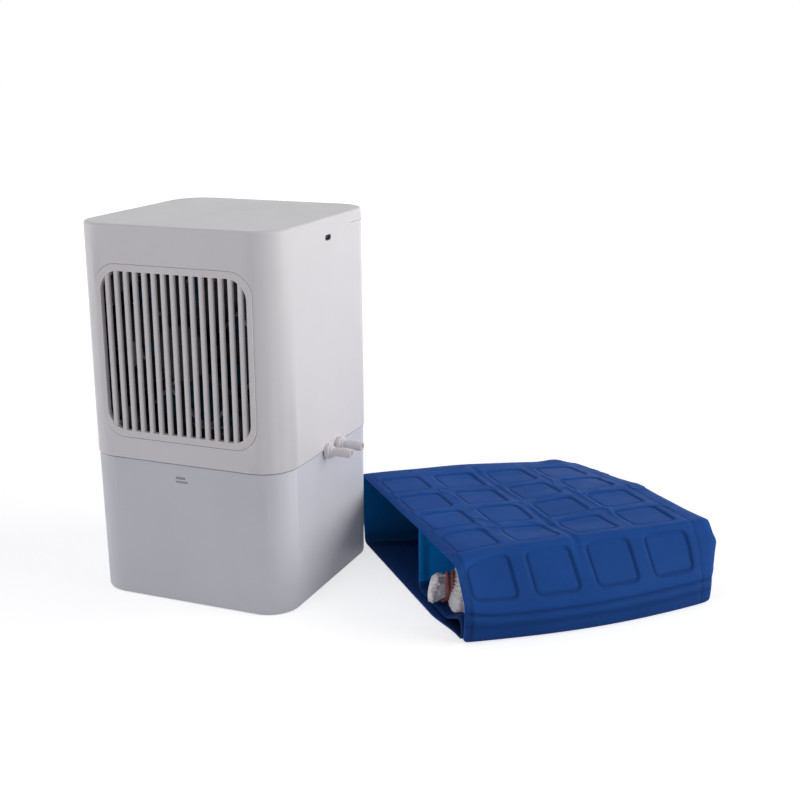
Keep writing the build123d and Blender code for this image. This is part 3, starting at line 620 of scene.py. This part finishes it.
# Its stretches. The relief is left out over the back, on the floor and past the end fold.
over_back = between(top_end - 0.014, top_end - 0.002, top_end + 0.012, top_end + 0.024)
lying = between(floor_start - 0.012, floor_start, floor_end, floor_end + 0.006)
past_end_fold = smooth_step(floor_end, floor_end + 0.006, run_grid)
on_top = between(crease_end + 0.004, crease_end + 0.030, top_end - 0.035, top_end - 0.004)
relief_shows = (1 - lying) * (1 - past_end_fold) * (1 - over_back)

# Relief of the outer face: raised channels, a pressed seam round each square, and lines.
# A line has the grid that its place is measured on, that place, its width and its height.
channel_height = 0.0006
channel_foot = 0.0002
channel_rise = 0.0022
seam_depth = 0.0005
seam_width = 0.0008
pressed_lines = (
    (run_grid, hem_groove - 0.0035, 0.0022, 0.00060),
    (run_grid, hem_groove, 0.0013, -0.00120),
    (run_grid, second_groove, 0.0016, -0.00072),
    (run_grid, crease_end - 0.0025, 0.0013, 0.00050),
    (u_grid, left_groove, 0.0009, -0.00050),
    (u_grid, right_groove, 0.0013, -0.00030),
)
relief = channel_height * smooth_step(channel_foot, channel_rise, outside)
relief -= seam_depth * bump_at(0.0, seam_width, outside)
for grid, place, width, height in pressed_lines:
    relief += height * bump_at(place, width, grid)
relief *= smooth_step(0.0005, 0.004, edge_gap) * relief_shows

# Waves of both faces: a slow one all over, a crinkle and a sag on the top, and a kink at
# the back corner
wave_height = 0.0010
crinkle_height = 0.0006
crinkle_width = 0.12
sag_depth = 0.0032
sag_u = 0.085
sag_width = 0.050
kink_height = 0.0026
kink_u = 0.167
kink_width = 0.012
kink_length = 0.014
waves = wave_height * slow_waves(size=0.045, seed=3.1) * (1 - lying) * smooth_step(0.0, 0.02, run_grid)
crinkle = 1 - smooth_step(0.0, crinkle_width, np.abs(slow_waves(size=0.016, seed=7.7)))
waves += crinkle_height * on_top * crinkle * smooth_step(0.0005, 0.003, outside)
waves -= sag_depth * on_top * bump_at(sag_u, sag_width, u_grid)
waves += kink_height * bump_at(top_end, kink_length, run_grid) * bump_at(kink_u, kink_width, u_grid)

# Gathered creases: a furrow and a ridge down each channel, here deep and there none
gather_depth = 0.0006
gather_mean = 0.5
gather_swing = 1.8
gather_most = 1.4
furrow_shift = -0.0008
furrow_width = 0.0011
ridge_shift = 0.0014
ridge_width = 0.0013
ridge_share = 0.6
gather = np.clip(gather_mean + gather_swing * slow_waves(size=0.035, seed=5.2), 0, gather_most)
gather *= smooth_step(0.002, 0.006, edge_gap) * relief_shows
gather *= smooth_step(crease_end - 0.030, crease_end + 0.004, run_grid)
gather *= 1 - smooth_step(mat_width - 0.020, mat_width - 0.016, u_grid)
channel_middle = square_radius + half_channel
waves -= gather_depth * gather * bump_at(channel_middle + furrow_shift, furrow_width, sideways)
waves += ridge_share * gather_depth * gather * bump_at(channel_middle + ridge_shift, ridge_width, sideways)

# Edges: thinner at the rim, curled in at the hem, and drawn in or let out at both ends.
# The right end's line goes through places along the mat, each with how far out it is.
thinning = 0.35
thin_rim = 0.0025
curl_depth = 0.0022
curl_length = 0.026
curl_power = 0.8
floor_gap = 0.00002
right_end_line = ((0.0, -0.0052), (0.017, -0.0048), (0.034, 0.0004), (0.045, 0.0044),
                  (0.052, 0.0030), (0.060, 0.0024), (0.095, 0.0))
right_draw = 0.0070
left_spread = 0.0042
left_power = 8
hem_corner = 0.0026
corner_power = 30
to_right = u_grid / mat_width
to_left = 1 - to_right
half_thickness = mat_thickness / 2 * (1 - thinning * (1 - smooth_step(0.0, thin_rim, edge_gap)))
hem_curl = -curl_depth * np.sin(pi * np.clip(run_grid / curl_length, 0, 1)) ** curl_power
flare = np.interp(run_grid, *zip(*right_end_line))
drawn_in = right_draw * between(floor_start + 0.04, floor_end - 0.02, wall_start, mat_length)
on_floor = between(floor_start - 0.030, floor_start, floor_end - 0.012, floor_end)
spread = left_spread * on_floor * (1 - smooth_step(floor_end - 0.040, floor_end - 0.004, run_grid))
from_corner = hem_corner - np.clip(run_grid, 0, hem_corner)
cut_off = hem_corner - np.sqrt(hem_corner ** 2 - from_corner ** 2)
u_placed = u_grid + (flare - drawn_in) * to_right ** end_power - spread * to_left ** left_power
u_placed += cut_off * (to_left ** corner_power - to_right ** corner_power)


def mat_face(offset):
    """Points of one face of the mat, an offset from its fold line and never below the floor."""
    depth = fold_line[:, :, 0] + fold_left[:, :, 0] * offset + hem_curl
    height = fold_line[:, :, 1] + fold_left[:, :, 1] * offset
    spots = np.array(mat_corner) + u_placed[:, :, None] * np.array(along)
    spots += depth[:, :, None] * np.array(inward)
    spots[:, :, 2] = np.maximum(height, floor_gap)
    return spots


def welded_films(name, upper, lower, upper_teal, lower_teal):
    """A thin closed sheet from its two faces, and where each of them is teal."""
    number = np.arange(upper[:, :, 0].size).reshape(upper.shape[:2])
    corners = [number[:-1, :-1], number[:-1, 1:], number[1:, 1:], number[1:, :-1]]
    over = np.stack(corners, -1).reshape(-1, 4)
    under = over[:, ::-1] + number.size
    rim_line = np.concatenate([number[0, :-1], number[:-1, -1], number[-1, :0:-1], number[:0:-1, 0]])
    after = np.roll(rim_line, -1)
    rim = np.stack([rim_line, rim_line + number.size, after + number.size, after], -1)
    points = np.concatenate([upper.reshape(-1, 3), lower.reshape(-1, 3)])
    piece = new_piece(name, points.tolist(), np.concatenate([over, under, rim]).tolist())
    finish = np.concatenate([upper_teal[:-1, :-1].reshape(-1), lower_teal[:-1, :-1].reshape(-1),
                             np.zeros(len(rim))])
    piece.data.polygons.foreach_set("material_index", finish.astype(np.int32))
    piece.data.shade_smooth()
    return piece


wall_teal = run_grid > wall_start
back_teal = (run_grid > top_end) & (run_grid < floor_start)
mat = welded_films("folded_mat_sheet", mat_face(half_thickness + relief + waves),
                   mat_face(-half_thickness + waves), wall_teal, back_teal)


# Painted shade on the outer face: in its seams' grooves, partly the welds' own darker colour,
# on its hem and its front, on the layers under others, at the wall's rim and along its grooves.
# A line has its grid, its place and its width as before, and how dark it is.
seam_share = 0.30
front_seam_share = 0.08
strip_share = 0.20
front_share = 0.11
layer_share = 0.55
rim_share = 0.30
seam_spread = 0.0014
front_seams = 0.7
painted_shade_lines = (
    (run_grid, hem_groove, 0.0012, 0.28),
    (run_grid, second_groove, 0.0014, 0.28),
    (u_grid, left_groove, 0.0016, 0.28),
    (u_grid, right_groove, 0.0016, 0.084),
)
in_front = 1 - smooth_step(crease_end - 0.012, crease_end - 0.004, run_grid)
side_seams = smooth_step(-0.004, 0.0, sideways - lengthwise)
seams = bump_at(0.0, seam_spread, outside) * np.maximum(side_seams, front_seams * in_front) * (1 - lying)
hem_strip = 1 - smooth_step(hem_groove - 0.010, hem_groove + 0.004, run_grid)
under_pouch = between(floor_end, floor_end + 0.004, wall_start - 0.004, wall_start)
wall_rim = smooth_step(wall_start, wall_start + 0.004, run_grid) * (1 - smooth_step(0.002, 0.012, u_grid))
outer_painted_shade = (seam_share + front_seam_share * in_front) * seams + strip_share * hem_strip
outer_painted_shade += front_share * in_front + layer_share * under_pouch + rim_share * wall_rim
for grid, place, width, share in painted_shade_lines:
    outer_painted_shade += share * bump_at(place, width, grid)

# Painted shade on the inner face, where it is shut in behind and below
back_share = 0.45
deep_back_share = 0.45
floor_share = 0.65
heel_share = 0.5
deepest_shade_share = 0.2
back_wall = smooth_step(top_end, top_end + 0.01, run_grid) * (1 - lying - past_end_fold)
deeper = smooth_step(top_end + 0.005, floor_start, run_grid)
inner_painted_shade = back_wall * (back_share + deep_back_share * deeper) + floor_share * lying
inner_painted_shade += heel_share * bump_at(floor_start, 0.010, run_grid)
inner_painted_shade += smooth_step(floor_end - 0.030, floor_end - 0.010, run_grid)
# Both faces' painted shade is kept on the mat's points, for its film to darken by
painted_shade_layer = mat.data.attributes.new("painted_shade", "FLOAT", "POINT")
both_faces = np.concatenate([outer_painted_shade.reshape(-1), inner_painted_shade.reshape(-1)])
painted_shade_layer.data.foreach_set("value", np.clip(both_faces, 0, 1))


def film_finish(name, colour):
    """Soft dull film with a small leather grain, darkened by the mat's painted shade."""
    made = grained_finish(name, colour, 0.72, drift=0.06, drift_size=0.03, shine_change=0.05,
                          grain_size=0.0008, grain_depth=0.00005, Specular_IOR_Level=0.10)
    tree = made.node_tree
    base = tree.nodes["Principled BSDF"].inputs["Base Color"]
    shade_reader = tree.nodes.new("ShaderNodeAttribute")
    shade_reader.attribute_name = "painted_shade"
    darkest = [deepest_shade_share * part for part in colour]
    shade = mixed_colour(tree, shade_reader.outputs["Fac"], base.links[0].from_socket, darkest)
    tree.links.new(shade, base)
    return made


mat.data.materials.append(film_finish("blue_film", mat_blue))
mat.data.materials.append(film_finish("teal_film", mat_inside_teal))
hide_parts("mat_outer_film", "mat_inner_film")
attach(mat, "folded_mat")


# Mat ports
# A small moulded block welded to the mat's side for each hose, with a tail like
# the chiller's spouts.
port_blue = (0.03, 0.09, 0.30)
port_finish = grained_finish("blue_port", port_blue, 0.4, drift=0.05, edge_wear_and_highlight=0.2)
for way in ("supply", "return"):
    dress(f"mat_{way}_port", port_finish, edge_softness / 2)


# Pouch
# A thin white bag of spare parts that lies along the fold. Its gathered, crumpled
# mouth sticks out to the left, and its body spreads in pleats behind the band.
bag_white = (0.93, 0.90, 0.91)
pouch_depth = 0.0505
mouth_z = 0.0170
body_z = 0.0188
neck_u = 0.0098
pouch_profile = ((-0.0042, 0.0), (-0.0040, 0.0050), (-0.0030, 0.0088), (-0.0003, 0.0108), (0.0038, 0.0105),
                 (0.0070, 0.0086), (0.0098, 0.0077), (0.0126, 0.0088), (0.0152, 0.0128), (0.0185, 0.0152),
                 (0.0260, 0.0160), (0.0480, 0.0150), (0.0560, 0.0120), (0.0605, 0.0070), (0.0620, 0.0))
pouch_rest = 0.0060
pouch_squash = 0.08
pouch_lean = 0.20
pouch_yaw = 0.35
neck_flatness = 0.35
body_flatness = 0.16
pouch_rings = 130
pouch_turns = 280


def pouch_place(u, radius, angle):
    """A place round the pouch's leaning axis, squashed flat on the film that it lies on."""
    in_body = float(smooth_step(0.008, 0.020, u))
    centre_z = mouth_z + (body_z - mouth_z) * in_body
    rise = radius * sin(angle)
    away = radius * cos(angle) * (1 - neck_flatness * float(bump_at(neck_u, 0.008, u)))
    spot = mat_corner + along * (u + pouch_lean * rise + pouch_yaw * away) + inward * (pouch_depth + away)
    spot.z = centre_z + rise * (1 - body_flatness * in_body)
    spot.z = max(spot.z, pouch_rest + pouch_squash * (spot.z - pouch_rest))
    return spot


# The pouch's surface: lumps, crumpled creases that are deepest at the mouth, pleats at the
# shoulder, and a skirt that hangs down to one side behind the band
lump_share = 0.12
crease_depth = 0.0022
mouth_crease_depth = 0.0030
fine_crease_share = 0.5
pleat_count = 26
pleat_height = 0.0002
shoulder_pleat_height = 0.0026
pleat_wander = 2.2
skirt_reach = 0.0100
skirt_angle = radians(216)
skirt_half = radians(38)
lump_length = 0.014
lump_scale = 0.8
crease_scale = 1.6
fine_crease_scale = 3.7
pleat_scale = 0.9
other_creases = Vector((5, 0, 0))
other_lumps = Vector((0, 7, 0))


def pouch_surface(u, radius, angle):
    """The pouch's own radius at one place, with its creases, its pleats and its skirt."""
    mouth = float(smooth_step(neck_u, neck_u - 0.008, u))
    shoulder = float(smooth_step(neck_u, neck_u + 0.004, u) * (1 - smooth_step(0.030, 0.048, u)))
    skirt = float(smooth_step(neck_u + 0.0006, neck_u + 0.0050, u) * (1 - smooth_step(0.024, 0.044, u)))
    way = Vector((cos(angle), sin(angle), u / lump_length))
    crease = abs(noise.noise(way * crease_scale))
    crease += fine_crease_share * abs(noise.noise(way * fine_crease_scale + other_creases))
    pleat = 1 - 2 * abs(sin(pleat_count * angle / 2 + pleat_wander * noise.noise(way * pleat_scale)))
    size = radius * (1 + lump_share * noise.noise(way * lump_scale + other_lumps))
    size -= (crease_depth + mouth_crease_depth * mouth) * crease * min(1.0, radius / 0.010)
    size += (pleat_height + shoulder_pleat_height * shoulder) * pleat * min(1.0, radius / 0.008)
    size += skirt_reach * skirt * bump_at(skirt_angle, skirt_half, angle)
    return max(size, 0.0)


def pouch_skin(name, rings):
    """A closed skin through rings of points."""
    turns = len(rings[0])
    points = [spot for circle in rings for spot in circle]
    faces = []
    for low in range(0, (len(rings) - 1) * turns, turns):
        for step in range(turns):
            after = (step + 1) % turns
            faces.append((low + step, low + after, low + turns + after, low + turns + step))
    piece = new_piece(name, points, faces)
    piece.data.shade_smooth()
    return piece


profile_u = np.array([u for u, _ in pouch_profile])
profile_radius = np.array([radius for _, radius in pouch_profile])
profile_run = np.concatenate([[0], np.cumsum(np.hypot(np.diff(profile_u), np.diff(profile_radius)))])
turn_angles = [2 * pi * step / pouch_turns for step in range(pouch_turns)]
rings = []
for ring in range(pouch_rings + 1):
    spot = profile_run[-1] * ring / pouch_rings
    u = float(np.interp(spot, profile_run, profile_u))
    radius = float(np.interp(spot, profile_run, profile_radius))
    rings.append([pouch_place(u, pouch_surface(u, radius, angle), angle) for angle in turn_angles])
pouch = pouch_skin("pouch", rings)
pouch_finish = grained_finish("white_bag", bag_white, 0.42, drift=0.06, drift_size=0.006,
                              grain_size=0.0012, grain_depth=0.0002)
pouch.data.materials.append(pouch_finish)
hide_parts("accessory_pouch")
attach(pouch, "tied_pouch")


# Band
# A red-brown rubber band that goes twice round the pouch's neck, leans to the left
# at the bottom and crosses itself there.
rubber_brown = (0.30, 0.085, 0.08)
band_radius = 0.0014
band_shift = 0.0012
band_reach = 0.0094
band_spread = 0.0021
band_upright = 0.14
band_tail = 0.0036
tail_power = 8
cross_angle = radians(235)
turns_apart = 0.0012
band_steps = 160
band_roundness = 4

spots = []
for step in range(band_steps):
    turn = 4 * pi * step / band_steps
    angle = turn + cross_angle + pi
    near_cross = 0.5 - 0.5 * cos(angle - cross_angle + pi)
    reach = band_reach + turns_apart * (1 - near_cross) * sin(turn / 2)
    side = cos(turn / 2)
    aside = band_spread * copysign(abs(side) ** 0.5, side) - band_upright * reach * sin(angle)
    aside -= band_tail * max(0, -sin(angle)) ** tail_power
    spots.append(pouch_place(neck_u + band_shift + aside, reach, angle))
curve = bpy.data.curves.new("neck_band", "CURVE")
curve.dimensions = "3D"
curve.bevel_depth = band_radius
curve.bevel_resolution = band_roundness
spline = curve.splines.new("NURBS")
spline.points.add(band_steps - 1)
for point, spot in zip(spline.points, spots):
    point.co = (*spot, 1)
spline.order_u = 3
spline.use_cyclic_u = True
band = bpy.data.objects.new("neck_band", curve)
scene.collection.objects.link(band)
band.data.materials.append(grained_finish("brown_band", rubber_brown, 0.5, drift=0.12, drift_size=0.004))
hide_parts("pouch_band")
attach(band, "tied_pouch")
